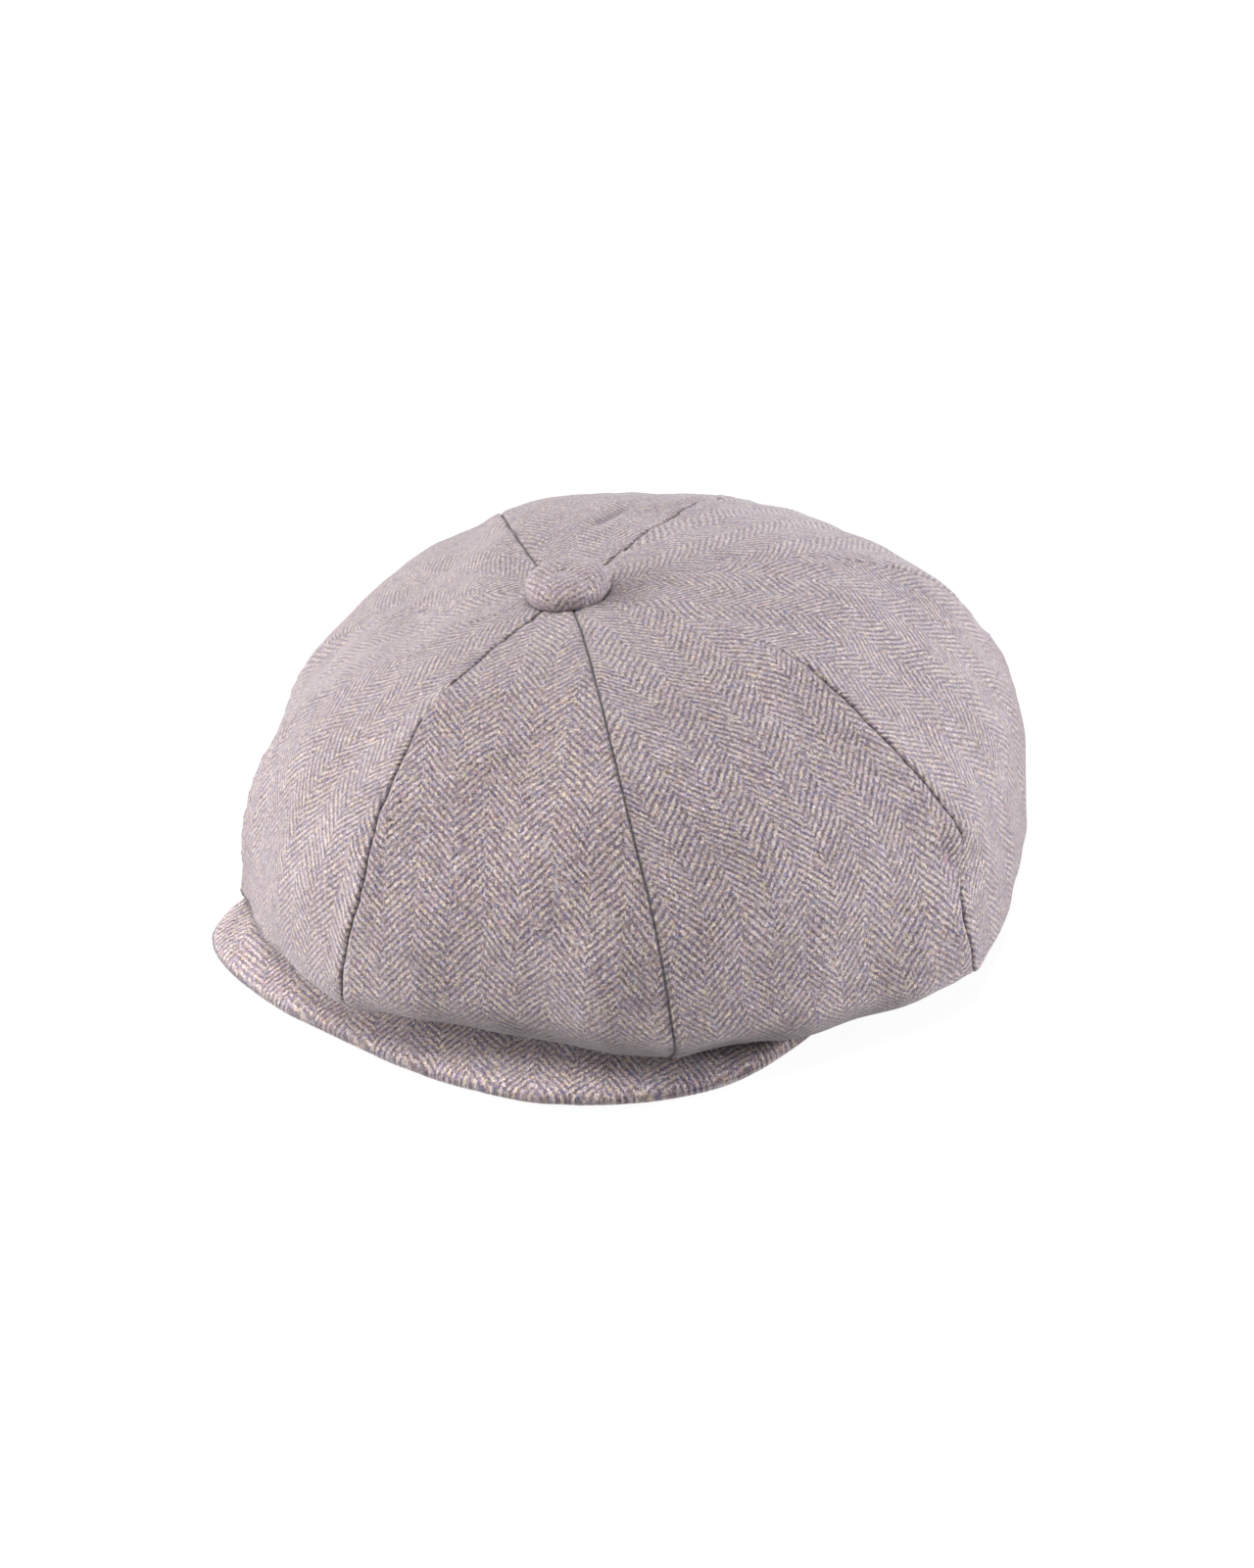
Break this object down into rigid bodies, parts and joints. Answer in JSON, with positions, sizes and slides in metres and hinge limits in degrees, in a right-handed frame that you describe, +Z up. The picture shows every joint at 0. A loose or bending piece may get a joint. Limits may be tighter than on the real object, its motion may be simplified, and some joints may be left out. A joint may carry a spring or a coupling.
{
  "type": "newsboy cap",
  "caption": "Soft newsboy cap with a full panelled crown gathered under a covered button, and a short stiffened peak.",
  "frame": {"origin": "middle of the cap's plan, on the surface it stands on", "axes": "+Z up, -Y out over the peak, +X to the wearer's left"},
  "size_m": [0.2671, 0.2716, 0.1191],
  "materials": {
    "tweed": "brushed wool herringbone",
    "lining": "smooth woven lining",
    "sweatband": "ribbed cloth",
    "board": "matt sheet",
    "button_metal": "plain tinplate"
  },
  "bodies": {
    "crown": {"crown_panel_front": "tweed", "crown_panel_front_left": "tweed", "crown_panel_left": "tweed", "crown_panel_back_left": "tweed", "crown_panel_back": "tweed", "crown_panel_back_right": "tweed", "crown_panel_right": "tweed", "crown_panel_front_right": "tweed", "lining_panel_front": "lining", "lining_panel_front_left": "lining", "lining_panel_left": "lining", "lining_panel_back_left": "lining", "lining_panel_back": "lining", "lining_panel_back_right": "lining", "lining_panel_right": "lining", "lining_panel_front_right": "lining", "sweatband": "sweatband", "button_cover": "tweed", "button_shell": "button_metal", "button_back": "button_metal"},
    "peak": {"peak_top_cover": "tweed", "peak_board": "board", "peak_bottom_cover": "tweed"}
  },
  "joints": [
    {"name": "peak_flex", "type": "hinge", "parent": "crown", "child": "peak", "pos_m": [-0.0213, -0.0269, 0.0109], "axis": [1, 0, 0], "range_deg": [0, 12]}
  ]
}
